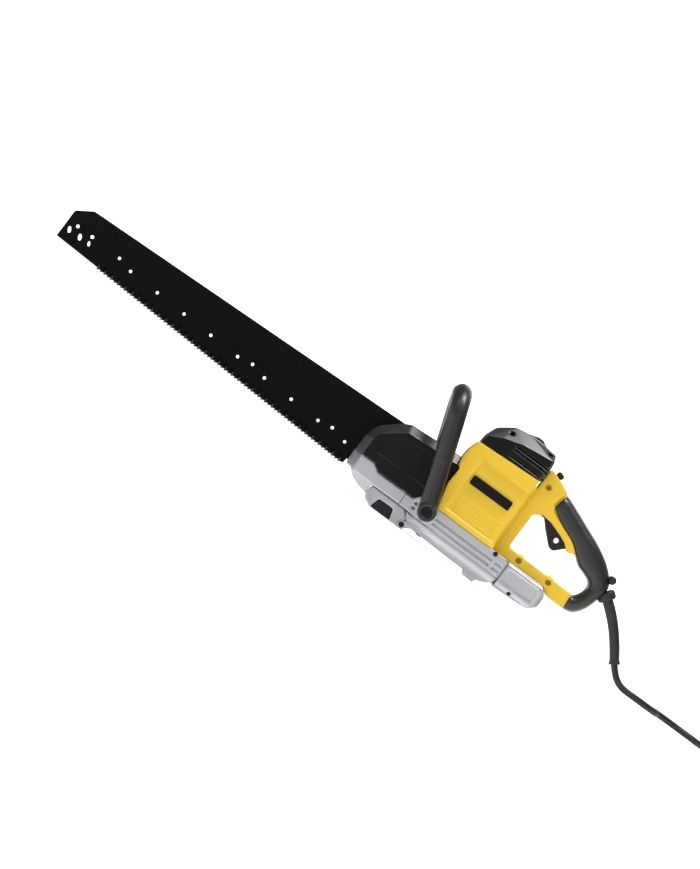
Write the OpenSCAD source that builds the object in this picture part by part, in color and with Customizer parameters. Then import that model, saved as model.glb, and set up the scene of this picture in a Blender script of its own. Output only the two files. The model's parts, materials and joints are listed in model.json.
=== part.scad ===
// Twin-blade reciprocating saw for building blocks. Two toothed blades slide in opposite directions
// on a long guide bar, driven by an upright motor through a two-throw crank and two yoke slides.
// Row frame: -X points along the blades, +X to the rear handle, +Z up, the saw stands on its base.
// Inside the modules x is counted from the tip of the guide bar and z from the floor.

/* [Overall] */
// Length from the tip of the guide bar to the end of the rear handle
overall_l = 787; // [780:1:800]
// Width of the gear case
case_w = 84; // [80:1:90]

/* [Blades] */
// Full stroke of each blade
stroke = 40; // [30:1:40]
// Distance from tooth to tooth on one blade
tooth_pitch = 10.25; // [9.5:0.25:10.25]
// Number of teeth on one blade
tooth_count = 37; // [30:1:37]
// Thickness of one blade
blade_t = 2; // [1.5:0.1:2]
// Height of a blade above the tips of its teeth
blade_h = 32; // [30:0.5:33]

/* [Guide bar] */
// Thickness of the guide bar above the blades
bar_t = 6; // [5:0.5:6]
// Thickness of the tongue between the blades
tongue_t = 2; // [1.5:0.1:2]

/* [Drive] */
// Teeth of the motor pinion
pinion_teeth = 8; // [8:1:8]
// Teeth of the drive gear
gear_teeth = 56; // [56:1:56]
// Gear module
gear_module = 1; // [1:0.1:1]
// Width of the flat slide bars
slide_w = 13; // [10:0.5:13]

/* [Motor] */
// Diameter of the stator
stator_d = 77; // [70:1:77]
// Diameter of the armature core
armature_d = 46; // [40:1:48]
// Diameter of the cooling fan
fan_d = 60; // [50:1:60]

/* [Handles] */
// Width of the yellow handle halves put together
handle_w = 36; // [32:1:40]
// Width of the rubber grip
grip_w = 38; // [36:1:42]
// Distance between the legs of the front handle
bail_w = 120; // [116:1:130]
// Diameter of the front handle's tube
bail_d = 23; // [20:1:24]

/* [Cord] */
// Diameter of the mains cord
cord_d = 8; // [7:0.5:8]
// Mean radius of the stored coil
coil_r = 47.7; // [47:0.1:48]

/* [Hidden] */
$fn = 48;

yellow = [0.90, 0.70, 0.12];
black = [0.10, 0.10, 0.11];
rubber = [0.14, 0.14, 0.15];
alloy = [0.78, 0.79, 0.80];
dark_steel = [0.09, 0.09, 0.10];
steel = [0.62, 0.63, 0.65];
copper = [0.72, 0.42, 0.22];

case_y = case_w / 2;

// Toothed edge: the tips of the teeth lie on a line that drops slightly towards the case.
tip_z0 = 36;
tip_slope = -0.035;
first_tooth = 62;
blade_front = 41.8;
blade_rear = 496;
blade_in = 1.1;
blade_out = blade_in + blade_t;
tip_in = 0.15;
tip_out = 4;
recess_x = 19;
tongue_end = 458;
bar_end = 545;
hole_r = 2;
hole_row = [for (i = [0:8]) 97 + i * 4 * tooth_pitch];
hole_row_h = 23;
high_holes = [77, 281, 403];
high_hole_h = 27;
tip_hole_r = 2.25;
tip_hole_x = [14, 35.5];
tip_hole_z = 61.5;

// Crank and motor axes, and the levels of the two slides.
crank_x = 627;
motor_x = crank_x - gear_module * (gear_teeth + pinion_teeth) / 2;
throw = stroke / 2;
slide_t = 6.4;
low_slide_z = 15.8;
high_slide_z = 26.3;
crank_pin_r = 4.5;
roller_r = 6;
window_x = roller_r + 4.6;
window_y = throw + roller_r + 0.2;
yoke_rim = 5;
slide_front = 538;
slide_rear = 695;
front_guide = [574.5, 590];
rear_guide = [669.5, 681];
pin_x = 487;
pin_z = 38;
pin_r = 4;
carrier_in = 7;
carrier_out = 12;
gear_z = 35;
gear_t = 5;
journal_r = 5;
running = 0.04;

// Levels of the case.
part_z = 21.5;
case_top = 46;
roof_z = 41;
floor_z = 9;

shaft_r = 4;

// ---------------------------------------------------------------- outline helpers

function unit(v) = v / norm(v);
function turn(a, b) = a.x * b.y - a.y * b.x;
function xz(p) = [p[0], p[1]];
function radius_of(p) = len(p) > 2 ? p[2] : 0;

// One corner of an outline, rounded to radius r with n steps.
function corner(a, p, b, r, n) =
    let (
        u = unit(a - p),
        v = unit(b - p),
        half = acos(u * v) / 2,
        c = p + unit(u + v) * r / sin(half),
        t0 = p + u * r / tan(half) - c,
        t1 = p + v * r / tan(half) - c,
        a0 = atan2(t0.y, t0.x),
        sweep = ((atan2(t1.y, t1.x) - a0 + 540) % 360) - 180
    )
    [for (i = [0:n]) c + r * [cos(a0 + sweep * i / n), sin(a0 + sweep * i / n)]];

// A closed outline of [x, z] or [x, z, corner radius] points, with its corners rounded.
function rounded(p, n = 5) = [
    for (i = [0:len(p) - 1])
        let (a = xz(p[(i + len(p) - 1) % len(p)]), q = xz(p[i]), b = xz(p[(i + 1) % len(p)]))
        each (radius_of(p[i]) > 0 ? corner(a, q, b, radius_of(p[i]), n) : [q])
];

// The same kind of outline, counter-clockwise, moved inwards by d.
function inset(p, d) = [
    for (i = [0:len(p) - 1])
        let (
            q = xz(p[i]),
            u = unit(q - xz(p[(i + len(p) - 1) % len(p)])),
            v = unit(xz(p[(i + 1) % len(p)]) - q),
            nu = [-u.y, u.x],
            nv = [-v.y, v.x],
            m = (nu + nv) / (1 + nu * nv),
            r = radius_of(p[i]),
            side = turn(u, v) > 0 ? -d : d
        )
        [q.x + d * m.x, q.y + d * m.y, r > 0 ? max(0.1, r + side) : 0]
];

// ---------------------------------------------------------------- solid helpers

module saw() { translate([-overall_l / 2, 0, 0]) children(); }

module both_sides() {
    children();
    mirror([0, 1, 0]) children();
}

// An outline in x and z, extruded from y0 to y1.
module slab(p, y0, y1) {
    translate([0, y1, 0]) rotate([90, 0, 0]) linear_extrude(y1 - y0) polygon(p);
}

// An outline in y and z, extruded from x0 to x1.
module beam(p, x0, x1) {
    translate([x0, 0, 0]) rotate([90, 0, 90]) linear_extrude(x1 - x0) polygon(p);
}

// An outline in x and y, extruded from z0 to z1.
module plate(p, z0, z1) { translate([0, 0, z0]) linear_extrude(z1 - z0) polygon(p); }

module block(x0, x1, y0, y1, z0, z1) { translate([x0, y0, z0]) cube([x1 - x0, y1 - y0, z1 - z0]); }

module post(x, y, z0, z1, r) { translate([x, y, z0]) cylinder(r = r, h = z1 - z0); }

module ring(x, y, z0, z1, r_in, r_out) {
    difference() {
        post(x, y, z0, z1, r_out);
        post(x, y, z0 - 1, z1 + 1, r_in);
    }
}

module pin(x, z, y0, y1, r) { translate([x, y1, z]) rotate([90, 0, 0]) cylinder(r = r, h = y1 - y0); }

// A slanted slot through the guide bar, r wide each side and length long overall.
module slanted_slot(x, z, r, length) {
    reach = length / 2 - r;
    for (s = [-1, 1]) pin(x + s * reach * 0.45, z - s * reach * 0.9, -bar_t, bar_t, r);
    translate([x, 0, z]) rotate([0, 26.6, 0]) cube([2 * r, 2 * bar_t, 2 * reach], center = true);
}

// A button-head screw along Y whose head ends at y, on the left side.
module side_screw(x, z, y, head_r, head_h, shank_r, length) {
    difference() {
        union() {
            pin(x, z, y, y + head_h, head_r);
            pin(x, z, y + head_h, y + length, shank_r);
        }
        pin(x, z, y - 1, y + head_h * 0.6, head_r * 0.45, $fn = 6);
    }
}

// ---------------------------------------------------------------- guide bar and blades

function tip_z(x) = tip_z0 + tip_slope * x;
function edge_z(x) = tip_z(x) + 2;
function shoulder_z(x) = tip_z(x) + blade_h + 0.2;

module guide_bar() color(dark_steel) saw() difference() {
    union() {
        slab(rounded([
            [0, edge_z(0)], [recess_x, edge_z(recess_x)], [recess_x, shoulder_z(recess_x)],
            [bar_end, shoulder_z(bar_end)], [bar_end, 103.5], [475, 101.8], [472, 104.8],
            [20, 88, 6], [0, 75, 4]
        ]), -bar_t / 2, bar_t / 2);
        slab([
            [recess_x - 1, edge_z(recess_x - 1)], [blade_front - 0.2, edge_z(blade_front)],
            [blade_front - 0.2, tip_z(blade_front) + 9], [tongue_end, tip_z(tongue_end) + 9],
            [tongue_end, shoulder_z(tongue_end) + 1], [recess_x - 1, shoulder_z(recess_x) + 1]
        ], -tongue_t / 2, tongue_t / 2);
    }
    both_sides() slab([
        [recess_x, shoulder_z(recess_x) - 1], [bar_end + 1, shoulder_z(bar_end + 1) - 1],
        [bar_end + 1, shoulder_z(bar_end + 1) + 3], [recess_x, shoulder_z(recess_x) + 3]
    ], blade_in, blade_in + 1.1);
    for (x = hole_row) pin(x, tip_z(x) + hole_row_h, -bar_t, bar_t, hole_r);
    for (x = high_holes) pin(x, tip_z(x) + high_hole_h, -bar_t, bar_t, hole_r);
    for (x = tip_hole_x) pin(x, tip_hole_z, -bar_t, bar_t, tip_hole_r);
    slanted_slot(8, 52.5, 2, 8);
    slanted_slot(23.5, 52.5, 2, 8);
    slanted_slot(37, 52.5, 1.5, 6);
    for (z = clamp_z) pin(clamp_x, z, -bar_t, bar_t, clamp_r + 0.2);
}

// Outline of one tooth that starts at x: seat of the carbide tip, back and gullet.
function tooth(x) = [
    for (p = [[0, 2], [0, 5], [2, 5], [2, 1], [4.6, 1.5], [7, 2.2], [7.7, 9], [9, 9.6], [9.9, 8.6]])
        [x + p.x, tip_z(x) + p.y]
];

// offset shifts the teeth, so that the teeth of one blade stand between those of the other.
function blade_outline(offset, count) = concat(
    [[blade_front, tip_z(blade_front) + blade_h], [blade_front, edge_z(blade_front)]],
    [[first_tooth + offset - 0.3, edge_z(first_tooth + offset)]],
    [for (i = [0:count - 1]) each tooth(first_tooth + offset + i * tooth_pitch)],
    [[blade_rear, tip_z(blade_rear) + 10], [blade_rear, tip_z(blade_rear) + blade_h]]
);

module blade(offset, count) difference() {
    union() {
        slab(blade_outline(offset, count), -blade_out, -blade_in);
        slab([
            [blade_front, tip_z(blade_front) + blade_h - 1], [blade_rear, tip_z(blade_rear) + blade_h - 1],
            [blade_rear, tip_z(blade_rear) + blade_h + 2.5], [blade_front, tip_z(blade_front) + blade_h + 2.5]
        ], -blade_in - 1, -blade_in - 0.1);
    }
    for (x = hole_row) pin(x, tip_z(x) + hole_row_h, -blade_out - 1, 0, hole_r);
    for (x = high_holes) pin(x, tip_z(x) + high_hole_h, -blade_out - 1, 0, hole_r);
    for (s = [-1, 1]) pin(pin_x, pin_z + s * 0.9, -blade_out - 1, 0, pin_r + 0.1);
    block(pin_x - pin_r - 0.1, pin_x + pin_r + 0.1, -blade_out - 1, 0, pin_z - 0.9, pin_z + 0.9);
}

module carbide_tips(offset, count) {
    for (i = [0:count - 1]) {
        x = first_tooth + offset + i * tooth_pitch;
        block(x, x + 2, -tip_out, -tip_in, tip_z(x), tip_z(x) + 5);
    }
}

module blade_left() color(dark_steel) saw() blade(0, tooth_count);
module blade_right() color(dark_steel) saw() mirror([0, 1, 0]) blade(tooth_pitch / 2, tooth_count - 1);
module carbide_tips_left() color(dark_steel) saw() carbide_tips(0, tooth_count);
module carbide_tips_right() color(dark_steel) saw() mirror([0, 1, 0])
    carbide_tips(tooth_pitch / 2, tooth_count - 1);

// ---------------------------------------------------------------- slides and crank

// A flat bar with a yoke frame around the crank roller; the lug carries the blade carrier.
module slide(z) {
    y = slide_w / 2;
    frame_x = window_x + yoke_rim;
    frame_y = window_y + yoke_rim;
    difference() {
        union() {
            block(slide_front, crank_x - frame_x + 1, -y, y, z, z + slide_t);
            block(crank_x + frame_x - 1, slide_rear, -y, y, z, z + slide_t);
            block(crank_x - frame_x, crank_x + frame_x, -frame_y, frame_y, z, z + slide_t);
            block(slide_front, slide_front + 15, -carrier_in, 0, z, z + slide_t);
        }
        block(crank_x - window_x, crank_x + window_x, -window_y, window_y, z - 1, z + slide_t + 1);
    }
}

module carrier(z) difference() {
    slab([
        [pin_x - 6, 32], [493, 31], [518, z], [slide_front + 15, z], [slide_front + 15, z + slide_t + 3],
        [520, 37], [494, 44], [pin_x - 6, 44]
    ], -carrier_out, -carrier_in);
    pin(pin_x, pin_z, -carrier_out - 1, -carrier_in + 1, pin_r);
}

module drive_pin() pin(pin_x, pin_z, -carrier_out, -0.6, pin_r);

module slide_left() color(steel) saw() slide(high_slide_z);
module slide_right() color(steel) saw() mirror([0, 1, 0]) slide(low_slide_z);
module carrier_left() color(steel) saw() carrier(high_slide_z);
module carrier_right() color(steel) saw() mirror([0, 1, 0]) carrier(low_slide_z);
module drive_pin_left() color(steel) saw() drive_pin();
module drive_pin_right() color(steel) saw() mirror([0, 1, 0]) drive_pin();

module crank_web(z0, z1, y0, y1) {
    for (y = [y0, y1]) post(crank_x, y, z0, z1, 7);
    block(crank_x - 7, crank_x + 7, y0, y1, z0, z1);
}

module crankshaft() color(steel) saw() {
    post(crank_x, 0, 6.4, 12, journal_r);
    crank_web(12, 15.5, -throw, 0);
    post(crank_x, -throw, 15.5, 22.5, crank_pin_r);
    crank_web(22.5, 26, -throw, throw);
    post(crank_x, throw, 26, 33, crank_pin_r);
    crank_web(33, gear_z, 0, throw);
    post(crank_x, 0, gear_z, gear_z + gear_t, 9);
    post(crank_x, 0, gear_z + gear_t, 45.4, journal_r);
}

// Outline of a spur gear with slim straight teeth, tooth 0 centred on angle 0.
function gear_outline(teeth, module_size) =
    let (r = teeth * module_size / 2, step = 360 / teeth)
    [
        for (i = [0:teeth - 1], p = [[-0.30, -1.05], [-0.12, 0.8], [0.12, 0.8], [0.30, -1.05]])
            let (a = (i + p.x) * step, d = r + p.y * module_size) [d * cos(a), d * sin(a)]
    ];

module drive_gear() color(steel) saw() difference() {
    translate([crank_x, 0, 0]) plate(gear_outline(gear_teeth, gear_module), gear_z, gear_z + gear_t);
    post(crank_x, 0, gear_z - 1, gear_z + gear_t + 1, 9);
    for (a = [30, 90, 150, 210, 270, 330])
        post(crank_x + 17.5 * cos(a), 17.5 * sin(a), gear_z - 1, gear_z + gear_t + 1, 4.5);
}

module crank_rollers() color(steel) saw() {
    ring(crank_x, throw, high_slide_z + 0.2, high_slide_z + slide_t - 0.2, crank_pin_r, roller_r);
    ring(crank_x, -throw, low_slide_z + 0.2, low_slide_z + slide_t - 0.2, crank_pin_r, roller_r);
}

module crank_bushes() color(copper) saw() {
    ring(crank_x, 0, 6.2, 11.7, journal_r + running, 8);
    ring(crank_x, 0, 40.3, 45.6, journal_r + running, 8);
}

// A block with two windows that the slide bars run through.
module slide_guide(x, y, z0, z1) difference() {
    block(x[0], x[1], -y, y, z0, z1);
    for (z = [low_slide_z, high_slide_z])
        block(x[0] - 1, x[1] + 1, -slide_w / 2 - 0.1, slide_w / 2 + 0.1, z - 0.1, z + slide_t + 0.1);
}

module front_slide_guide() color(copper) saw() slide_guide(front_guide, 20, floor_z, 34);
module rear_slide_guide() color(copper) saw() slide_guide(rear_guide, 33, 13.8, 41);

// ---------------------------------------------------------------- castings

function case_plan(d) = inset([
    [521, -32], [533, -32, 3], [546, -case_y, 6], [669, -case_y, 7],
    [669, case_y, 7], [546, case_y, 6], [533, 32, 3], [521, 32]
], d);

clamp_x = 532;
clamp_z = [64, 90];
clamp_r = 4;
tower_y = 16;
tower = [521, 551];
bail_foot = [553, 35];
bail_in = bail_w / 2 - bail_d / 2 - 0.05;

module gear_case() color(alloy) saw() difference() {
    union() {
        intersection() {
            plate(rounded(case_plan(0)), part_z, case_top);
            slab([[521, part_z + 1], [530, part_z + 1], [545, part_z], [670, part_z], [670, case_top],
                [537, case_top], [530, 38.5], [521, 38.5]], -case_y, case_y);
        }
        block(tower[0], tower[1], -tower_y, tower_y, 38, 101);
        post(motor_x, 0, case_top - 1, 50, 17);
        both_sides() pin(bail_foot.x, bail_foot.y, -bail_in, -case_y + 4, 12);
    }
    block(560, 663, -case_y + 3.5, case_y - 3.5, part_z - 1, roof_z);
    block(662, 670, -33, 33, part_z - 1, roof_z);
    block(tower[0] - 1, 561, -carrier_out - 0.8, carrier_out + 0.8, part_z - 1, roof_z);
    block(tower[0] - 1, tower[1] + 1, -carrier_out - 0.8, carrier_out + 0.8, roof_z - 1, 47);
    block(tower[0] - 1, bar_end + 0.5, -bar_t / 2 - 0.05, bar_t / 2 + 0.05, 46, 102);
    for (z = clamp_z) pin(clamp_x, z, -tower_y - 1, tower_y + 1, clamp_r);
    post(crank_x, 0, 40, 45.7, 8);
    post(motor_x, 0, roof_z - 1, 51, 13);
    both_sides() {
        pin(bail_foot.x, bail_foot.y, -50, -31, 4);
        for (z = [26, 33], x = [[567, 650], [655, 664.5]])
            block(x[0], x[1], -case_y - 1, -case_y + 2, z, z + (z > 30 ? 3 : 3.4));
        pin(537.5, 36, -37, -31, 1.8);
        block(535, 540, -38.5, -32, 28, 31);
    }
    case_screw_bodies();
}

cover_side = [
    [532.2, part_z], [545, 7.6, 2], [600, 6, 0], [652, 5.4, 8], [662, 10, 8], [668, 18, 6], [669, part_z]
];

module cover_section(d) {
    y = case_y - d;
    beam(rounded([[-y, part_z + 1], [-y, 15, 7 - d / 2], [-y + 11, 5 + d, 5], [y - 11, 5 + d, 5],
        [y, 15, 7 - d / 2], [y, part_z + 1]]), 520, 670);
}

module gear_case_cover() color(alloy) saw() difference() {
    union() {
        difference() {
            intersection() {
                slab(rounded(cover_side), -case_y, case_y);
                cover_section(0);
                plate(rounded(case_plan(0)), 0, part_z);
            }
            intersection() {
                slab([[549, floor_z], [656, floor_z], [663.4, 15.5], [664.4, part_z + 1], [549, part_z + 1]],
                    -case_y + 3.5, case_y - 3.5);
                cover_section(3.5);
            }
        }
        post(crank_x, 0, 5.8, 11.8, 11);
        block(663.5, 669, -19, 19, 12, part_z);
        both_sides() {
            slab(rounded([[628, 8], [633, 0.8, 2], [637, 0, 1], [646, 0, 2], [651, 8]]), -31, -19);
            pin(538, 5, -36, -30.6, 5);
            slab([[538, 0.3], [549, 7], [549, 14], [541, 12], [535, 8]], -36, -30.6);
        }
    }
    post(crank_x, 0, 6.2, 12, 8);
    block(530, 562, -carrier_out - 0.8, carrier_out + 0.8, 12.5, part_z + 1);
    block(655, 670, -slide_w / 2 - 0.6, slide_w / 2 + 0.6, low_slide_z - 0.6, part_z + 1);
    pin(538, 5, -40, 40, 2.5);
    case_screw_bodies();
}

rear_side = [
    [669, 10.4], [692, 10.8, 0], [717, 12.6, 9], [727, 22, 6], [727, 35, 6], [720, 45, 6], [669, 45]
];

module rear_guide_cover() color(alloy) saw() difference() {
    intersection() {
        slab(rounded(rear_side), -37, 37);
        beam(rounded([[-37, 45, 4], [-37, 15, 5], [-30, 10, 5], [30, 10, 5], [37, 15, 5], [37, 45, 4]]),
            660, 730);
        plate(rounded([[669, -37], [727, -37, 9], [727, 37, 9], [669, 37]]), 0, 46);
    }
    slab(rounded(inset(rear_side, 3.2)), -33, 33);
    block(668, 682, -33, 33, 13.6, 41.2);
    block(680, slide_rear + throw + 1, -slide_w / 2 - 0.6, slide_w / 2 + 0.6, low_slide_z - 0.5, 38);
    both_sides() slab(rounded([[673, 21, 1], [716, 21, 1], [716, 40, 2], [673, 40, 2]]), -38, -36.2);
    case_screw_bodies();
}

nose_side = [
    [440, 45], [440, 31, 2], [442, 25, 2], [448, 25, 3], [457, 16.5, 8], [469, 12.2, 6], [480.8, 10.2],
    [480.8, part_z + 1], [521, part_z + 1], [521, 38.5], [480, 38.5, 3], [473, 42.5, 3], [469, 45]
];

module front_nose() color(alloy) saw() difference() {
    intersection() {
        slab(rounded(nose_side), -32, 32);
        plate(rounded([[440, -15, 2], [452, -32, 5], [521, -32], [521, 32], [452, 32, 5], [440, 15, 2]]),
            0, 46);
        beam(rounded([[-32, 46], [-32, 24, 4], [-25, 7, 3], [25, 7, 3], [32, 24, 4], [32, 46]]), 430, 530);
    }
    intersection() {
        slab([[445, 46], [445, 29], [451, 28], [460, 20.2], [469, 15.8], [484, 14], [484, 20],
            [522, 20], [522, 46]], -28, 28);
        plate([[445, -11], [455, -28], [522, -28], [522, 28], [455, 28], [445, 11]], 0, 50);
        beam([[-28, 47], [-28, 26], [-22, 10], [22, 10], [28, 26], [28, 47]], 430, 530);
    }
    block(439, 446, -5.5, 5.5, 17, 46);
    block(440, 462, -5.5, 5.5, 17, 30);
}

module case_screw_bodies() {
    for (y = [-27, 27], x = [562, 600]) {
        post(x, y, 6, 8.5, 3.4);
        post(x, y, 8.4, 13, 2);
    }
    both_sides() pin(649, 43.5, -case_y - 0.6, -case_y + 3, 2.6);
    both_sides() pin(690, 14.5, -37.4, -33.4, 2.2);
}

module case_screws() color(black) saw() case_screw_bodies();

module bar_clamp_bolts() color(steel) saw() {
    for (z = clamp_z) {
        pin(clamp_x, z, -tower_y - 0.5, tower_y + 0.5, clamp_r);
        pin(clamp_x, z, -tower_y - 6.5, -tower_y - 0.5, 6.5, $fn = 6);
        pin(clamp_x, z, tower_y + 0.5, tower_y + 6.5, 6.5, $fn = 6);
        pin(clamp_x, z, -tower_y - 0.5, -tower_y, 8);
        pin(clamp_x, z, tower_y, tower_y + 0.5, 8);
    }
}

// ---------------------------------------------------------------- hinged latch cover

latch_side = [
    [483.4, 22.2], [481.9, 15.5, 2], [481.3, 9, 3], [485, 4, 5], [495, 0, 6], [541, 0, 3], [543.4, 4, 3],
    [543.4, 7.4, 2], [531, 22.2]
];

module latch_cover() color(alloy) saw() difference() {
    slab(rounded(latch_side), -30, 30);
    slab([[487, 23], [487, 16], [491.5, 8], [496, 3], [531, 3], [531, 14], [527, 23]], -27, 27);
    slab([[495, -1], [523, -1], [519, 13.6], [499, 13.6]], -31, -20);
    block(520, 545, -carrier_out - 0.8, carrier_out + 0.8, 12.5, 23);
    pin(538, 5, -31, 31, 2.55);
}

module latch_hinge_pin() color(black) saw() {
    pin(538, 5, -36, 36, 2.5);
    pin(538, 5, -37.2, -36, 3.2);
    pin(538, 5, 36, 37.2, 3.2);
}

module latch_button() color(black) saw() {
    slab(rounded([[496, 0.6], [522, 0.6], [518.4, 13, 3], [499.6, 13, 3]]), -31.2, -26);
    slab([[500, 3.4], [518, 3.4], [516, 10], [502, 10]], -26.5, -22);
}

// ---------------------------------------------------------------- hood over the drive end

module hood_shell(d) {
    hull() {
        slab(rounded([[440 + d, 45.2], [440 + d, 66, 4], [443 + d, 78, 10], [448 + d, 86 - d / 2, 10],
            [468 + d, 103 - d, 12], [478, 108.5 - d, 8], [547, 113 - d, 2], [553, 103],
            [560, 60], [560, 45.2]]), -23 + d, 0);
        slab(rounded([[451 + d, 45.2], [451 + d, 70, 4], [454 + d, 78 - d / 2, 8], [480, 98 - d, 12],
            [553, 102.5 - d], [560, 60], [560, 45.2]]), -34 + d, -20);
    }
}

module hood_half() difference() {
    union() {
        difference() {
            hood_shell(0);
            difference() {
                hood_shell(3);
                slab([[430, 40], [430, 120], [447, 120], [447, 40]], -6, 1);
            }
            block(549, 562, -31, 1, 40, 110);
        }
        intersection() {
            slab([[480, 38.8], [530, 38.8], [537, 46.3], [470, 46.3], [470, 45.2], [473, 42.7]], -34, -31);
            block(440, 560, -34, -29, 38, 47);
        }
    }
    block(430, 474, -3.2, 1, 40, 105.2);
    block(470, 560, -3.2, 1, 40, 104.8);
    block(430, 560, -0.05, 1, 40, 120);
    block(536, 562, -35, 1, 40, case_top + 0.2);
    block(555.7, 562, -35, 1, 45, 50.3);
    slab(rounded(inset(housing_side, -0.2)), -45, 1);
    slab(rounded([[460, 57, 5], [462, 75, 8], [482, 91, 10], [515, 93, 4], [546, 93, 4], [546, 57, 5]]),
        -35, -32.8);
}

module hood_left() color(black) saw() hood_half();
module hood_right() color(black) saw() mirror([0, 1, 0]) hood_half();

// ---------------------------------------------------------------- motor

module pinion() color(steel) saw()
    translate([motor_x, 0, 0]) rotate([0, 0, 180 / pinion_teeth])
        plate(gear_outline(pinion_teeth, gear_module), gear_z - 0.4, gear_z + gear_t + 0.4);

module armature_shaft() color(steel) saw() post(motor_x, 0, gear_z + gear_t + 0.4, 170, shaft_r);

module armature_core() color(steel) saw() difference() {
    ring(motor_x, 0, 80, 118, shaft_r, armature_d / 2);
    for (i = [0:11]) translate([motor_x, 0, 79]) rotate([0, 0, i * 30])
        translate([armature_d / 2 - 3, -1, 0]) cube([4, 2, 40]);
}

module commutator() color(copper) saw() ring(motor_x, 0, 134, 150, shaft_r, 13);

module fan() color(black) saw() {
    ring(motor_x, 0, 52, 54, shaft_r, fan_d / 2);
    ring(motor_x, 0, 54, 64, shaft_r, 8);
    for (i = [0:10]) translate([motor_x, 0, 53.5]) rotate([0, 0, i * 360 / 11])
        translate([12, -0.8, 0]) cube([fan_d / 2 - 13, 1.6, 10]);
}

module motor_bearings() color(steel) saw() {
    ring(motor_x, 0, 41.2, 49.5, shaft_r + running, 13);
    ring(motor_x, 0, 159, 167, shaft_r + running, 11);
}

module stator_core() color(steel) saw() difference() {
    post(motor_x, 0, 80, 118, stator_d / 2);
    post(motor_x, 0, 79, 119, armature_d / 2 + 0.8);
    for (s = [-1, 1]) translate([motor_x, 0, 79]) rotate([0, 0, 90 + s * 90])
        translate([-30, 18, 0]) cube([60, 14, 40]);
}

module field_coils() color(copper) saw() difference() {
    for (s = [-1, 1]) translate([motor_x, 0, 74]) rotate([0, 0, 90 + s * 90])
        translate([-25, 25, 0]) cube([50, 6.5, 50]);
    post(motor_x, 0, 60, 130, armature_d / 2 + 1.2);
}

module brush_bracket() color(black) saw() difference() {
    union() {
        ring(motor_x, 0, 126, 130, 28, 39.5);
        for (s = [-1, 1]) block(motor_x - 8, motor_x + 8, s > 0 ? 27 : -31, s > 0 ? 31 : -27, 126, 160);
        block(motor_x - 8, motor_x + 8, -31, 31, 157, 160);
        ring(motor_x, 0, 157, 168, 8, 14);
    }
    post(motor_x, 0, 158.9, 169, 11);
    post(motor_x, 0, 150, 160, 8);
}

module brush_holders() color(copper) saw() both_sides() difference() {
    block(motor_x - 6, motor_x + 6, -27, -15, 136, 148);
    block(motor_x - 4, motor_x + 4, -28, -14, 138, 146);
}

module carbon_brushes() color(dark_steel) saw() both_sides()
    block(motor_x - 3.9, motor_x + 3.9, -25, -13.3, 138.1, 145.9);

// ---------------------------------------------------------------- motor housing and cap

housing_side = [
    [561.5, 46], [643, 46], [643, 144.4], [555, 140.2], [553, 138, 2], [549.5, 127, 8], [548.3, 116, 8],
    [550, 103.5, 2], [554, 100, 2], [553, 78, 8], [557, 62, 8]
];

module housing_body(d) intersection() {
    slab(rounded(inset(housing_side, d)), -44 + d, 44 - d);
    plate(rounded([[540 + d, -44 + d, 13 - d], [643 - d, -44 + d, 9 - d], [643 - d, 44 - d, 9 - d],
        [540 + d, 44 - d, 13 - d]]), 40, 150);
}

module motor_housing() color(yellow) saw() difference() {
    union() {
        difference() {
            union() {
                housing_body(0);
                plate(rounded([[556, -42, 6], [643, -42], [643, 42], [556, 42, 6]]), 46, 50);
            }
            housing_body(2.6);
            block(570, 625, -34, 34, 44, 50);
            block(540, 650, -41.4, 41.4, 136, 150);
            both_sides() slab(rounded([[566, 52, 3], [641, 52, 3], [641, 129, 3], [572, 126, 8]]),
                -45, -42.8);
        }
        both_sides() for (i = [0:4]) {
            z = 57 + i * 4.6;
            block(577, 631, -43.8, -42.6, z - 1.3, z + 1.3);
            for (x = [577, 631]) pin(x, z, -43.8, -42.6, 1.3);
        }
        both_sides() block(motor_x - 8, motor_x + 8, -42.6, -stator_d / 2 - 0.05, 82, 116);
    }
    post(motor_x, 0, 40, 51, 17.2);
}

module name_plates() color(black) saw() both_sides()
    slab(rounded([[573, 93, 2], [630, 93, 2], [630, 105, 2], [573, 105, 2]]), -43.6, -42.8);

cap_side = [
    [555.2, 140.4], [643.8, 144.7], [643.8, 152], [641.5, 168, 4], [638.5, 181, 3], [624, 182.6],
    [616, 187, 3],
    [610, 187, 4], [599, 183.4, 4], [580, 180, 12], [562, 167, 12], [556, 152, 10]
];

module cap_shell(d) {
    hull() {
        slab(rounded([[555.2 + d, 140.4], [643.8 - d, 144.7], [643 - d, 156], [641.5 - d, 173 - d, 2],
            [600, 168 - d, 6], [574 + d, 160 - d, 8], [558 + d, 152, 4]]), -43.5 + d, 43.5 - d);
        slab(rounded([[555.2 + d, 140.4], [643.8 - d, 144.7], [643.6 - d, 152], [641.5 - d, 170, 4],
            [638.5 - d, 181 - d, 3], [600, 183.2 - d, 6], [580, 180 - d, 12], [562 + d, 167 - d, 12],
            [556 + d, 152, 6]]), -28 + d, 28 - d);
    }
}

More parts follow.
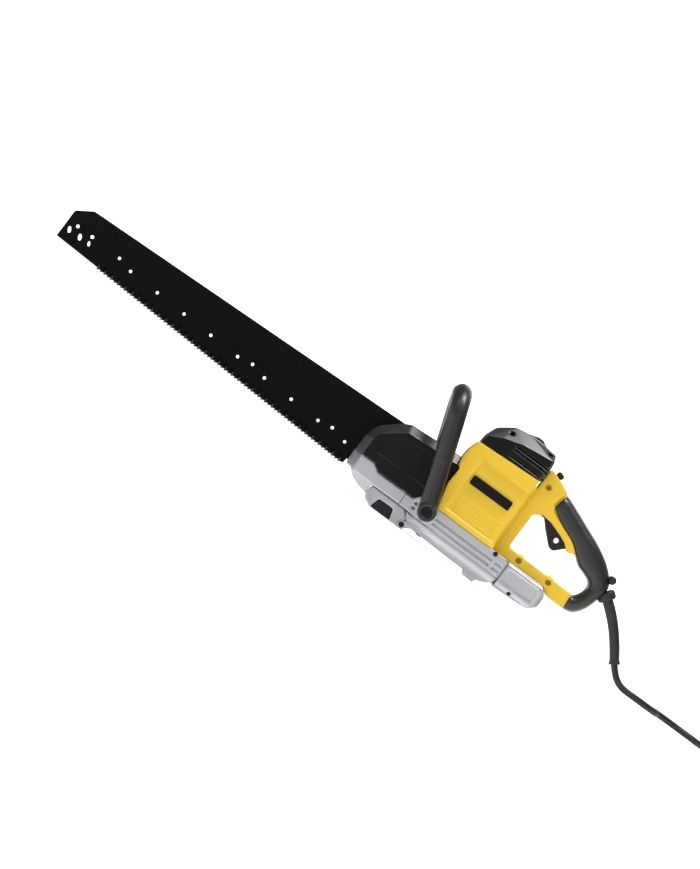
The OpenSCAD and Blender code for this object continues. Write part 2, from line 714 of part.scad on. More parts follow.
module motor_cap() color(black) saw() difference() {
    union() {
        intersection() {
            cap_shell(0);
            plate(rounded([[540, -43.5, 13], [644, -43.5, 9], [644, 43.5, 9], [540, 43.5, 13]]), 130, 190);
        }
        slab(rounded([[597, 180], [640, 178], [638.5, 181, 1], [624, 182.6], [616, 187, 3], [609, 187, 4],
            [597, 183]]), -14, 14);
    }
    intersection() {
        cap_shell(3);
        plate(rounded([[540, -40.5, 10], [641, -40.5, 6], [641, 40.5, 6], [540, 40.5, 10]]), 130, 190);
    }
    slab([[550, 138], [645, 140], [645, 145.2], [550, 141]], -40.5, 40.5);
    both_sides() for (i = [0:3]) block(592, 650, -50, -36, 147 + i * 4.4, 148.8 + i * 4.4);
    for (i = [0:3]) block(639, 650, -30, 30, 147 + i * 4.4, 148.8 + i * 4.4);
    both_sides() for (p = cap_screw_at) translate([p.x, -29, p.y]) rotate([62, 0, 0])
        translate([0, 0, -1]) cylinder(r = 3.4, h = 12);
}

cap_screw_at = [[580, 168], [632, 175]];

module cap_screws() color(dark_steel) saw() both_sides() for (p = cap_screw_at)
    translate([p.x, -29, p.y]) rotate([62, 0, 0]) difference() {
        translate([0, 0, -1.8]) cylinder(r = 3.3, h = 3.2);
        translate([0, 0, 0.4]) cylinder(r = 1.4, h = 4, $fn = 6);
    }

// ---------------------------------------------------------------- rear handle

handle_outer = [
    [643, 46], [719, 46, 3], [727.5, 40, 3], [733, 39], [753, 39], [753, 42], [762, 44.5, 5], [770, 51, 6],
    [775, 62, 8], [778.5, 76, 6], [780.5, 90, 6], [774, 101.5, 6], [759, 113.5, 10], [742, 122.5, 0],
    [678, 149.6], [675.5, 154], [660, 160.5, 3], [644.1, 165.8, 3], [644.1, 144.9], [643, 144.5]
];
handle_opening = [
    [658, 60, 4], [658, 108, 4], [668, 114.6, 3], [681, 113.4], [698.5, 107.6, 4], [708.5, 103.4, 2],
    [713.5, 98.6], [719, 95.5, 3], [725, 99.5, 2], [741, 93.2], [759, 86.8, 4], [765, 78, 5],
    [762.5, 66, 6], [753, 55.5], [752, 59]
];
grip_outline = [
    [677, 153, 3], [673, 142, 4], [671.4, 132, 3], [676, 126, 2], [700, 116], [715, 110, 6], [722, 106.5, 4],
    [726, 101.5, 3], [724, 96.7, 1], [740, 90.3], [757, 84.2, 4], [762.3, 76, 6], [759.5, 65, 8],
    [752.6, 58.6], [752.6, 38.7, 2], [765, 40.5, 6], [775, 51, 8], [780, 65, 6], [785, 88, 6], [780, 101, 6],
    [762, 116, 12], [744, 125.6, 0]
];

module handle_ring(y0, y1) difference() {
    slab(rounded(handle_outer), y0, y1);
    slab(rounded(handle_opening), y0 - 1, y1 + 1);
}

// Pockets inside the two halves, for the switch and the wires.
module handle_pockets() {
    slab([[661, 156], [676, 147], [740, 119], [757, 110], [771, 98.5], [777, 89], [775, 77], [770, 77],
        [767, 85], [760, 90.5], [724, 104.5], [718, 105], [713, 104.6], [706, 106.8], [699, 109.8],
        [681, 116.2], [668, 118], [655, 112], [655, 50], [648, 50], [648, 140], [649, 158]], -13, 13);
    slab([[654, 50], [749, 50], [757, 51], [766, 56], [771, 64], [775, 77.5], [769.5, 77.5], [766, 64],
        [757, 53.5], [750, 55.5], [654, 55.5]], -13, 13);
    for (a = [0, 2, 4, 6]) translate([trigger_at.x, 0, trigger_at.y]) rotate([0, -a, 0])
        translate([-trigger_at.x, 0, -trigger_at.y]) slab(rounded(inset(trigger_outline, -0.9)), -9.6, 9.6);
}

module handle_half() difference() {
    handle_ring(-handle_w / 2, -0.01);
    slab(rounded(grip_outline), -handle_w / 2 - 1, -15);
    handle_pockets();
    pin(trigger_at.x, trigger_at.y, -15, 0, 2.5);
    lock_axis() translate([0, 0, -8]) cylinder(r = lock_r + 0.3, h = 30);
    lock_axis() translate([0, 0, -9.5]) cylinder(r = lock_r + 2, h = 7);
    for (p = handle_screw_at) {
        pin(p.x, p.y, -20, -handle_w / 2 + 4, 3.6);
        pin(p.x, p.y, -20, 1, 2);
    }
    collar();
}

handle_screw_at = [[654, 145], [677, 53], [721, 53]];

module handle_left() color(yellow) saw() { handle_half(); handle_bumps(); }
module handle_right() color(yellow) saw() mirror([0, 1, 0]) { handle_half(); handle_bumps(); }

// Screw towers that show above the lower bar of the handle.
module handle_bumps() for (x = [677, 721])
    slab(rounded([[x - 6, 58.9], [x - 2.5, 61.5, 1.5], [x + 2.5, 61.5, 1.5], [x + 6, 58.9]]), -15, -4);

module handle_screws() color(dark_steel) saw() for (p = handle_screw_at)
    side_screw(p.x, p.y, -handle_w / 2 + 1.6, 3.2, 2.4, 1.9, handle_w - 5);

module grip() color(rubber) saw() difference() {
    intersection() {
        slab(rounded(grip_outline), -grip_w / 2, grip_w / 2);
        union() {
            slab(rounded(grip_outline), -grip_w / 2 + 4, grip_w / 2 - 4);
            slab(rounded(inset(reversed(grip_outline), 2.2)), -grip_w / 2, grip_w / 2);
        }
    }
    difference() {
        slab(rounded(handle_outer), -15, 15);
        slab(rounded(handle_opening), -16, 16);
    }
    collar();
    pin(key_at.x, key_at.y, -grip_w, grip_w, key_r);
}

function reversed(p) = [for (i = [len(p) - 1:-1:0]) p[i]];

key_r = 5.2;
key_at = [overall_l - key_r, 101];
trigger_at = [669, 116];
trigger_hole = [699.5, 99.6];
trigger_outline = [
    [664.5, 115], [672, 112.8, 2], [681, 103], [697, 88, 5], [703, 87, 4], [711.5, 95.8, 1], [714.2, 98.6],
    [709, 105.5, 2], [698, 110.8], [681, 117], [672, 119, 2], [666, 118, 1.5]
];

module trigger() color(black) saw() difference() {
    union() {
        slab(rounded(trigger_outline), -9, 9);
        pin(trigger_at.x, trigger_at.y, -9, 9, 3.4);
    }
    pin(trigger_at.x, trigger_at.y, -10, 10, 2.05);
    pin(trigger_hole.x, trigger_hole.y, -10, 10, 3.25);
}

module trigger_pin() color(steel) saw() pin(trigger_at.x, trigger_at.y, -12.5, 12.5, 2);

module switch_module() color(black) saw()
    slab([[683, 121.5], [712, 109.5], [718, 123], [689, 135.5]], -11, 11);

lock_r = 4.2;
module lock_axis() translate([656.5, 0, 162]) rotate([0, 23, 0]) children();

module lock_off_button() color(black) saw() lock_axis() {
    translate([0, 0, -5]) cylinder(r = lock_r, h = 12);
    translate([0, 0, -6]) cylinder(r = lock_r + 1.5, h = 2.6);
}

module hex_key() color(black) saw() {
    pin(key_at.x, key_at.y, -14, 14, key_r);
    pin(key_at.x, key_at.y, -17, 17, 2.4, $fn = 6);
}

module cord_clamp() color(black) saw() slab([[770.6, 78.5], [774.4, 78.5], [775.5, 86], [768.5, 86]], -9, 9);

// ---------------------------------------------------------------- front handle

bail_lean = atan2(504 - 553, 174 - 35);
bail_len = norm([504 - 553, 174 - 35]);
bail_bend = 30;

// The plane of the bail: local Z runs along its legs from the foot to the crossbar.
module bail_plane() translate([bail_foot.x, 0, bail_foot.y]) rotate([0, bail_lean, 0]) children();

module front_handle() color(rubber) saw() difference() {
    union() {
        bail_plane() {
            both_sides() translate([0, -bail_w / 2, 0]) cylinder(d = bail_d, h = bail_len - bail_bend);
            both_sides() translate([0, -bail_w / 2, 62])
                cylinder(d = bail_d + 1, h = bail_len - bail_bend - 62);
            both_sides() translate([0, -bail_w / 2 + bail_bend, bail_len - bail_bend]) rotate([0, -90, 0])
                rotate([0, 0, -90]) rotate_extrude(angle = 90) translate([bail_bend, 0])
                    circle(d = bail_d + 1);
            translate([0, 0, bail_len]) rotate([90, 0, 0])
                cylinder(d = bail_d + 1, h = bail_w - 2 * bail_bend, center = true);
        }
        both_sides() pin(bail_foot.x, bail_foot.y, -bail_w / 2 - bail_d / 2, -bail_in - 0.02, bail_d / 2);
    }
    both_sides() {
        pin(bail_foot.x, bail_foot.y, -80, -65, 6.6);
        pin(bail_foot.x, bail_foot.y, -80, -40, 4);
    }
}

module front_handle_bolts() color(dark_steel) saw() both_sides() difference() {
    union() {
        pin(bail_foot.x, bail_foot.y, -65, -31.5, 3.95);
        pin(bail_foot.x, bail_foot.y, -69, -64.98, 6.2);
    }
    pin(bail_foot.x, bail_foot.y, -70, -66, 3.4, $fn = 6);
}

// ---------------------------------------------------------------- cord

collar_at = [787.5, 82];
sleeve_route = [[788, 0, 81.6], [796, 0, 75.5], [805, 0, 68], [815, 0, 58.5], [824, 0, 48.5], [832, 0, 38.5],
    [838.5, 0, 29.5], [843.5, 0, 22.5]];
cord_route = [
    [843.5, 0, 22.5], [850, 0, 15], [857, 0, 9.2], [865, 0.2, 5.4], [874, 0.6, 4], [885, 2, 4],
    [896, 6.2, 4], [906, 13, 4], [914.5, 22.4, 4], [920.7, 34.2, 4], [923.6, 47, 4], [924, 62, 4],
    [924, 78, 4], [924, 95, 4], [926.9, 110, 4], [935.7, 123.3, 4], [949, 132, 4], [964, 135, 4],
    [979, 132, 4], [992.3, 123.3, 4], [1001.1, 110, 4], [1004.2, 95, 4], [1003.8, 83.5, 4]
];
tail_route = [[1003.7, 22.5, 27], [1004.1, 14, 23], [1004.3, 7, 19.6], [1004.3, 1, 18.1], [1004.3, -4.7, 18]];
coil_at = [1060, 53];
coil_turns_across = 3;
coil_layers = 4;

function ahead(p, i) = unit(p[min(i + 1, len(p) - 1)] - p[max(i - 1, 0)]);

// A round tube through the points p, with radius r[i] at point i.
module tube(p, r, sides) {
    n = len(p);
    points = [
        for (i = [0:n - 1])
            let (t = ahead(p, i), u = unit(cross([0, 0, 1], t)), v = cross(t, u))
            for (k = [0:sides - 1])
                let (a = 360 * k / sides) p[i] + r[i] * (cos(a) * u + sin(a) * v)
    ];
    faces = concat(
        [[for (k = [0:sides - 1]) k]],
        [for (i = [0:n - 2], k = [0:sides - 1])
            [for (q = [[0, 0], [1, 0], [1, 1], [0, 1]]) (i + q.x) * sides + (k + q.y) % sides]],
        [[for (k = [sides - 1:-1:0]) (n - 1) * sides + k]]
    );
    polyhedron(points, faces);
}

// Round collar that holds the sleeve in the end of the grip.
module collar() translate([collar_at.x, 0, collar_at.y]) rotate([0, 127, 0]) translate([0, 0, -6])
    cylinder(r = 11.5, h = 12.5);

module strain_relief() color(rubber) saw() {
    collar();
    tube(sleeve_route, [6.4, 6.6, 6.6, 6.4, 6.2, 6, 5.8, 6.8], 12);
}

module cord() color(rubber) saw() for (route = [cord_route, tail_route])
    tube(route, [for (p = route) cord_d / 2], 8);

// Centred on the stored coil, with the plug beyond it along -X.
module beside_coil() translate([coil_at.x, coil_at.y, 0]) rotate([0, 0, 90]) children();

module cord_coil() color(rubber) saw() beside_coil() rotate_extrude()
    translate([coil_r - coil_turns_across * cord_d / 2, 0])
        square([coil_turns_across * cord_d, coil_layers * cord_d]);

module plug() color(black) saw() beside_coil() translate([-58, coil_r + cord_d, 18]) rotate([0, -90, 0]) {
    cylinder(r = 6, h = 14);
    translate([0, 0, 14]) cylinder(r1 = 9, r2 = 13, h = 24);
    translate([0, 0, 38]) cylinder(r = 18, h = 10);
}

module plug_pins() color(steel) saw()
    for (s = [-1, 1]) beside_coil() translate([-106, coil_r + cord_d + s * 9.5, 18]) rotate([0, -90, 0]) {
        cylinder(r = 2.4, h = 17.5);
        translate([0, 0, 17.5]) sphere(r = 2.4);
    }

guide_bar();
blade_left();
blade_right();
carbide_tips_left();
carbide_tips_right();
carrier_left();
carrier_right();
drive_pin_left();
drive_pin_right();
slide_left();
slide_right();
crankshaft();
drive_gear();
crank_rollers();
crank_bushes();
front_slide_guide();
rear_slide_guide();
gear_case();
gear_case_cover();
rear_guide_cover();
front_nose();
case_screws();
latch_cover();
latch_hinge_pin();
latch_button();
bar_clamp_bolts();
hood_left();
hood_right();
armature_shaft();
armature_core();
commutator();
fan();
pinion();
motor_bearings();
stator_core();
field_coils();
brush_bracket();
brush_holders();
carbon_brushes();
motor_housing();
name_plates();
motor_cap();
cap_screws();
handle_left();
handle_right();
handle_screws();
grip();
trigger();
trigger_pin();
switch_module();
lock_off_button();
hex_key();
cord_clamp();
front_handle();
front_handle_bolts();
strain_relief();
cord();
cord_coil();
plug();
plug_pins();
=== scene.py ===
import json
import math

import bmesh
import bpy
from mathutils import Matrix, Vector

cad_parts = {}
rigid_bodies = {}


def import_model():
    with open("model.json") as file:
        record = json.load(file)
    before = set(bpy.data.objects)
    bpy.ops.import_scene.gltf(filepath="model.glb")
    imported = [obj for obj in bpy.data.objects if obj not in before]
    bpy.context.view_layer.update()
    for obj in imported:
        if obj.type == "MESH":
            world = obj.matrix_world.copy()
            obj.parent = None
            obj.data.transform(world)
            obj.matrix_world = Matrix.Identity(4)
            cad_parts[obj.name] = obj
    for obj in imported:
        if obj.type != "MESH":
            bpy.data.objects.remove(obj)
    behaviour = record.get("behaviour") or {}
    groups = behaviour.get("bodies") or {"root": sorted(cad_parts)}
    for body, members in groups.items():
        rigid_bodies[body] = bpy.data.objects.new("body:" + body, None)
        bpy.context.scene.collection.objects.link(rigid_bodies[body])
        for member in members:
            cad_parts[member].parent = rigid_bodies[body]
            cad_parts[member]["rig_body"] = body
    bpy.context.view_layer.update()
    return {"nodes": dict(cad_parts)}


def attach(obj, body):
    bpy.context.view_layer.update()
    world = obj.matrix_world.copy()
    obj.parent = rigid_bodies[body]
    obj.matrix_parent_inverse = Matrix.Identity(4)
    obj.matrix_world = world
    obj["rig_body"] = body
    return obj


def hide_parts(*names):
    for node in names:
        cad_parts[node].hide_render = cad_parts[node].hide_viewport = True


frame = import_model()
nodes = frame["nodes"]

MM = 0.001
WELD = 2e-6  # m, vertices closer than this become one
HALF_LENGTH = 393.5  # mm, row X = distance from the bar's tip - HALF_LENGTH
ROLL = math.radians(36.5)  # the saw's axis runs down to the right
LENS = 200.0  # mm
SENSOR = 36.0  # mm
VIEW_HEIGHT = 1.0428  # m, height of the picture at the saw
VIEW_CENTRE = Vector((0.0315, 0.0, 0.055))


def place(x, y, z):
    """A point in mm, x counted from the bar's tip, as row coordinates in metres."""
    return Vector(((x - HALF_LENGTH) * MM, y * MM, z * MM))


def body_of(node):
    return nodes[node]["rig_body"]


# ------------------------------------------------------------------ camera

camera_data = bpy.data.cameras.new("camera")
camera = bpy.data.objects.new("camera", camera_data)
bpy.context.scene.collection.objects.link(camera)
camera_data.lens = LENS
camera_data.sensor_width = SENSOR
distance = VIEW_HEIGHT * LENS / SENSOR
right = Vector((math.cos(ROLL), 0, math.sin(ROLL)))
up = Vector((-math.sin(ROLL), 0, math.cos(ROLL)))
back = Vector((0, -1, 0))
facing = Matrix((right, up, back)).transposed().to_4x4()
camera.matrix_world = Matrix.Translation(VIEW_CENTRE + back * distance) @ facing
camera_data.clip_start, camera_data.clip_end = 0.1, 100
bpy.context.scene.camera = camera
bpy.context.scene.view_settings.view_transform = "Standard"


# ------------------------------------------------------------------ materials


class Paint:
    """A node material, built up from small steps."""

    def __init__(self, name, colour, roughness, metallic=0.0, **shader):
        self.material = bpy.data.materials.new(name)
        self.material.use_nodes = True
        self.tree = self.material.node_tree
        self.shader = self.tree.nodes["Principled BSDF"]
        self.shader.inputs["Base Color"].default_value = (*colour, 1)
        self.shader.inputs["Roughness"].default_value = roughness
        self.shader.inputs["Metallic"].default_value = metallic
        for key, value in shader.items():
            title = key.replace("_", " ").title().replace("Ior", "IOR")
            self.shader.inputs[title].default_value = value
        self.colour, self.roughness = colour, roughness
        self.where = self.add("ShaderNodeTexCoord").outputs["Object"]
        self.height = None

    def add(self, kind, **settings):
        node = self.tree.nodes.new(kind)
        for key, value in settings.items():
            setattr(node, key, value)
        return node

    def link(self, a, b):
        self.tree.links.new(a, b)

    def stretched(self, scale):
        node = self.add("ShaderNodeMapping")
        node.inputs["Scale"].default_value = scale
        self.link(self.where, node.inputs["Vector"])
        return node.outputs["Vector"]

    def noise(self, scale, detail=3.0, rough=0.5, stretch=(1, 1, 1)):
        node = self.add("ShaderNodeTexNoise")
        node.inputs["Scale"].default_value = scale
        node.inputs["Detail"].default_value = detail
        node.inputs["Roughness"].default_value = rough
        self.link(self.stretched(stretch), node.inputs["Vector"])
        return node.outputs["Fac"]

    def cells(self, scale, feature="F1", stretch=(1, 1, 1)):
        node = self.add("ShaderNodeTexVoronoi", feature=feature)
        node.inputs["Scale"].default_value = scale
        self.link(self.stretched(stretch), node.inputs["Vector"])
        return node.outputs["Distance"]

    def edges(self, low, high):
        """0 to 1 over the given range of pointiness: high on worn outer edges."""
        return self.ranged(self.add("ShaderNodeNewGeometry").outputs["Pointiness"], low, high, 0, 1)

    def painted_hollow_shade(self, most):
        """Up to most in hollows and inner corners: painted shade, standing in for the shade that gathers
        there.
        """
        return self.ranged(self.add("ShaderNodeNewGeometry").outputs["Pointiness"], 0.42, 0.492, most, 0)

    def ranged(self, value, low, high, to_low, to_high):
        node = self.add("ShaderNodeMapRange")
        for key, number in (("From Min", low), ("From Max", high), ("To Min", to_low), ("To Max", to_high)):
            node.inputs[key].default_value = number
        self.link(value, node.inputs["Value"])
        return node.outputs["Result"]

    def tint(self, factor, colour):
        """Mixes another colour in where factor is high."""
        node = self.add("ShaderNodeMix", data_type="RGBA")
        self.link(factor, node.inputs["Factor"])
        before = self.shader.inputs["Base Color"]
        a, b = [s for s in node.inputs if s.type == "RGBA"]
        if before.is_linked:
            self.link(before.links[0].from_socket, a)
        else:
            a.default_value = (*self.colour, 1)
        b.default_value = (*colour, 1)
        self.link([s for s in node.outputs if s.type == "RGBA"][0], before)

    def gloss(self, factor, low, high, lowest=0.3, highest=0.7):
        """Roughness from low to high as factor goes over its usual range."""
        self.link(self.ranged(factor, lowest, highest, low, high), self.shader.inputs["Roughness"])

    def relief(self, value, depth, strength=1.0):
        """A bump of that depth in metres, on top of the earlier ones."""
        node = self.add("ShaderNodeBump")
        node.inputs["Distance"].default_value = depth
        node.inputs["Strength"].default_value = strength
        self.link(value, node.inputs["Height"])
        if self.height is not None:
            self.link(self.height, node.inputs["Normal"])
        self.height = node.outputs["Normal"]
        self.link(self.height, self.shader.inputs["Normal"])


def moulded(name, colour, roughness, other, grain=2600, depth=0.00005, edge=None, **shader):
    """Moulded plastic: fine spark-eroded grain, a slow change of tone, slightly worn edges and painted
    shade in its hollows.
    """
    p = Paint(name, colour, roughness, **shader)
    p.tint(p.ranged(p.noise(9, 2), 0.35, 0.7, 0, 0.7), other)
    if edge:
        p.tint(p.edges(0.53, 0.62), edge)
        # painted shade: hollows and inner corners darkened to about a third of the colour
        p.tint(p.painted_hollow_shade(0.6), tuple(0.35 * part for part in colour))
    p.gloss(p.noise(60, 4), roughness - 0.06, roughness + 0.08)
    p.relief(p.noise(grain, 2), depth)
    return p.material


def made_paints():
    paints = {}
    paints["yellow"] = moulded("yellow_moulded", (0.80, 0.52, 0.028), 0.42, (0.83, 0.56, 0.040),
                               edge=(0.85, 0.62, 0.09), specular_ior_level=0.35)
    paints["hood"] = moulded("hood_black", (0.005, 0.005, 0.0055), 0.3, (0.012, 0.012, 0.0125),
                             grain=2200, depth=0.00003, edge=(0.06, 0.06, 0.062), specular_ior_level=1.0)
    paints["panel"] = moulded("panel_black", (0.006, 0.006, 0.0065), 0.45, (0.009, 0.009, 0.0095),
                              specular_ior_level=0.12)
    paints["cap"] = moulded("cap_black", (0.012, 0.012, 0.013), 0.36, (0.018, 0.018, 0.019),
                            depth=0.00006, edge=(0.07, 0.07, 0.072), specular_ior_level=1.0)
    paints["black"] = moulded("plain_black", (0.007, 0.007, 0.0075), 0.42, (0.010, 0.010, 0.0105),
                              edge=(0.03, 0.03, 0.03), specular_ior_level=0.35)

    p = Paint("grip_rubber", (0.006, 0.006, 0.0065), 0.36, specular_ior_level=0.42,
              coat_weight=0.5, coat_roughness=0.28)
    p.tint(p.ranged(p.noise(14, 3), 0.4, 0.75, 0, 0.8), (0.013, 0.013, 0.0135))
    p.gloss(p.noise(120, 3), 0.3, 0.42)
    p.relief(p.cells(900), 0.00022)
    p.relief(p.noise(4000, 2), 0.00004)
    paints["grip"] = p.material

    p = Paint("handle_foam", (0.006, 0.006, 0.0065), 0.36, specular_ior_level=0.3,
              coat_weight=0.5, coat_roughness=0.28)
    p.tint(p.ranged(p.noise(20, 3), 0.4, 0.75, 0, 0.8), (0.018, 0.018, 0.019))
    p.gloss(p.noise(150, 3), 0.32, 0.44)
    p.relief(p.cells(1500), 0.00016)
    p.relief(p.noise(5000, 2), 0.00004)
    paints["foam"] = p.material

    p = Paint("cord_rubber", (0.012, 0.012, 0.0125), 0.5, specular_ior_level=0.45)
    p.tint(p.ranged(p.noise(30, 2), 0.4, 0.7, 0, 0.8), (0.02, 0.02, 0.021))
    p.relief(p.noise(900, 3, stretch=(0.2, 1, 1)), 0.00006)
    paints["cord"] = p.material

    p = Paint("cast_alloy", (0.52, 0.53, 0.55), 0.36, 0.8)
    p.tint(p.ranged(p.noise(12, 3), 0.35, 0.7, 0, 0.6), (0.44, 0.45, 0.48))
    p.tint(p.ranged(p.cells(4200), 0.1, 0.5, 0.25, 0), (0.75, 0.75, 0.77))
    p.tint(p.edges(0.54, 0.64), (0.8, 0.8, 0.8))
    # painted shade: the casting's hollows and grooves darkened almost to black
    p.tint(p.painted_hollow_shade(0.8), (0.10, 0.10, 0.11))
    p.gloss(p.noise(70, 4), 0.3, 0.44)
    p.relief(p.noise(1700, 3), 0.00005)
    p.relief(p.noise(180, 2), 0.00006)
    paints["alloy"] = p.material

    p = Paint("coated_steel", (0.0020, 0.0021, 0.0025), 0.42, specular_ior_level=0.08)
    p.tint(p.ranged(p.noise(7, 4), 0.4, 0.75, 0, 0.7), (0.0045, 0.0045, 0.005))
    scratches = p.noise(60, 6, 0.7, (0.25, 1, 30))
    p.tint(p.ranged(scratches, 0.66, 0.74, 0, 0.4), (0.02, 0.02, 0.021))
    p.gloss(p.noise(40, 5, 0.6, (0.3, 1, 6)), 0.34, 0.5)
    p.relief(p.noise(2400, 2), 0.00002)
    p.relief(scratches, 0.00001)
    paints["bar"] = p.material

    p = Paint("carbide", (0.05, 0.05, 0.053), 0.34, 0.6)
    p.tint(p.ranged(p.noise(700, 3), 0.4, 0.7, 0, 0.7), (0.10, 0.095, 0.09))
    p.gloss(p.noise(900, 3), 0.26, 0.45)
    p.relief(p.noise(2500, 2), 0.00003)
    paints["carbide"] = p.material

    p = Paint("ground_steel", (0.56, 0.57, 0.59), 0.28, 1.0)
    p.tint(p.ranged(p.noise(25, 3), 0.45, 0.7, 0, 0.5), (0.42, 0.42, 0.44))
    lines = p.noise(80, 4, 0.6, (0.3, 1, 25))
    p.gloss(lines, 0.2, 0.4)
    p.relief(lines, 0.00001)
    paints["steel"] = p.material

    p = Paint("bronze", (0.50, 0.27, 0.11), 0.35, 1.0)
    p.tint(p.ranged(p.noise(200, 4), 0.45, 0.7, 0, 0.6), (0.36, 0.19, 0.08))
    p.gloss(p.noise(300, 3), 0.28, 0.45)
    p.relief(p.noise(1500, 3), 0.00003)
    paints["bronze"] = p.material

    p = Paint("winding", (0.58, 0.22, 0.07), 0.3, 0.9)
    wires = p.add("ShaderNodeTexWave", wave_type="BANDS", bands_direction="Z")
    wires.inputs["Scale"].default_value = 320
    p.link(p.where, wires.inputs["Vector"])
    p.tint(p.ranged(wires.outputs["Fac"], 0, 0.5, 0.8, 0), (0.16, 0.05, 0.02))
    p.relief(wires.outputs["Fac"], 0.0004)
    paints["winding"] = p.material

    p = Paint("core_laminations", (0.30, 0.30, 0.32), 0.4, 1.0)
    sheets = p.add("ShaderNodeTexWave", wave_type="BANDS", bands_direction="Z")
    sheets.inputs["Scale"].default_value = 500
    p.link(p.where, sheets.inputs["Vector"])
    p.tint(p.ranged(sheets.outputs["Fac"], 0, 0.4, 0.8, 0), (0.12, 0.10, 0.09))
    p.relief(sheets.outputs["Fac"], 0.0001)
    paints["core"] = p.material

    p = Paint("black_oxide", (0.012, 0.012, 0.0125), 0.4, 0.6, specular_ior_level=0.3)
    p.tint(p.ranged(p.noise(300, 3), 0.4, 0.7, 0, 0.7), (0.028, 0.027, 0.025))
    p.gloss(p.noise(500, 3), 0.28, 0.46)
    p.relief(p.noise(2000, 2), 0.00003)
    paints["screw"] = p.material

    p = Paint("zinc_yellow_screw", (0.36, 0.17, 0.025), 0.45, 0.6)
    p.tint(p.ranged(p.noise(600, 3), 0.4, 0.7, 0, 0.8), (0.5, 0.27, 0.04))
    p.relief(p.noise(1500, 2), 0.00003)
    paints["yellow_screw"] = p.material

    p = Paint("carbon", (0.02, 0.02, 0.02), 0.6)
    p.tint(p.ranged(p.noise(900, 3), 0.4, 0.7, 0, 0.8), (0.05, 0.05, 0.05))
    p.relief(p.noise(3000, 2), 0.00004)
    paints["carbon"] = p.material
    return paints


paints = made_paints()


# ------------------------------------------------------------------ mesh helpers


def new_piece(name, mesh, paint, body=None, stands_for=(), smooth=True):
    """A piece made of that mesh, painted, riding on a body and standing for CAD nodes."""
    piece = bpy.data.objects.new(name, mesh)
    bpy.context.scene.collection.objects.link(piece)
    mesh.materials.clear()
    mesh.materials.append(paints[paint])
    if smooth:
        mesh.polygons.foreach_set("use_smooth", [True] * len(mesh.polygons))
    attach(piece, body or body_of(stands_for[0]))
    if stands_for:
        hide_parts(*stands_for)
    return piece


def evaluated(piece):
    """The mesh of a piece with its modifiers applied, as new mesh data."""
    graph = bpy.context.evaluated_depsgraph_get()
    return bpy.data.meshes.new_from_object(piece.evaluated_get(graph))


def joined(meshes, name):
    """Several meshes in one, with coincident vertices made one."""
    work = bmesh.new()
    for mesh in meshes:
        work.from_mesh(mesh)
    bmesh.ops.remove_doubles(work, verts=work.verts, dist=WELD)
    result = bpy.data.meshes.new(name)
    work.to_mesh(result)
    work.free()
    return result


def softened(name, meshes, voxel, rounds, keep=0.45):
    """Solid meshes fused into one skin whose edges are rounded: voxel size in mm, rounds of smoothing."""
    scratch = bpy.data.objects.new("scratch", joined(meshes, "scratch"))
    bpy.context.scene.collection.objects.link(scratch)
    remesh = scratch.modifiers.new("remesh", "REMESH")
    remesh.mode = "VOXEL"
    remesh.voxel_size = voxel * MM
    smooth = scratch.modifiers.new("smooth", "SMOOTH")
    smooth.factor, smooth.iterations = 0.5, rounds
    if keep < 1:
        fewer = scratch.modifiers.new("fewer", "DECIMATE")
        fewer.ratio = keep
    mesh = evaluated(scratch)
    mesh.name = name
    bpy.data.objects.remove(scratch)
    return mesh


def pushed(mesh, move):
    """Moves each vertex: move takes and returns x from the bar's tip, y and z in mm."""
    for v in mesh.vertices:
        v.co = place(*move(v.co.x / MM + HALF_LENGTH, v.co.y / MM, v.co.z / MM))
    return mesh


def eased(value, low, high):
    """0 below low, 1 above high, with a soft step between."""
    share = min(1.0, max(0.0, (value - low) / (high - low)))
    return share * share * (3 - 2 * share)


def bevelled(node, width, sharp=30):
    """A copy of a CAD node's mesh whose hard edges carry a small two-step bevel, width in mm."""
    work = bmesh.new()
    work.from_mesh(nodes[node].data)
    bmesh.ops.remove_doubles(work, verts=work.verts, dist=WELD)
    bmesh.ops.dissolve_limit(work, angle_limit=math.radians(0.6), verts=work.verts, edges=work.edges)
    hard = [e for e in work.edges if len(e.link_faces) == 2 and e.calc_face_angle(0) > math.radians(sharp)]
    bmesh.ops.bevel(work, geom=hard, offset=width * MM, segments=2, profile=0.5, affect="EDGES",
                    clamp_overlap=True, harden_normals=False)
    bmesh.ops.triangulate(work, faces=[f for f in work.faces if len(f.verts) > 4])
    mesh = bpy.data.meshes.new(node)
    work.to_mesh(mesh)
    work.free()
    return mesh


def lofted(name, rings, closed_ends=True):
    """A skin through rings of points, each with as many points as the next."""
    work = bmesh.new()
    loops = [[work.verts.new(place(*p)) for p in ring] for ring in rings]
    count = len(loops[0])
    for a, b in zip(loops, loops[1:]):
        for i in range(count):
            j = (i + 1) % count
            work.faces.new((a[i], a[j], b[j], b[i]))
    if closed_ends:
        work.faces.new(loops[0][::-1])
        work.faces.new(loops[-1])
    bmesh.ops.recalc_face_normals(work, faces=work.faces)
    mesh = bpy.data.meshes.new(name)
    work.to_mesh(mesh)
    work.free()
    return mesh


def turned(name, profile, origin, axis, side=(0, 1, 0), sides=48, wave=None):
    """A turned part: profile is [radius, distance along the axis] in mm from its origin."""
    along, across = Vector(axis).normalized(), Vector(side)
    third = along.cross(across)
    rings = []
    for r, t in profile:
        ring = []
        for i in range(sides):
            a = 2 * math.pi * i / sides
            q = r * (wave(a, t) if wave else 1)
            outwards = across * math.cos(a) + third * math.sin(a)
            ring.append(tuple(Vector(origin) + along * t + outwards * q))
        rings.append(ring)
    return lofted(name, rings)


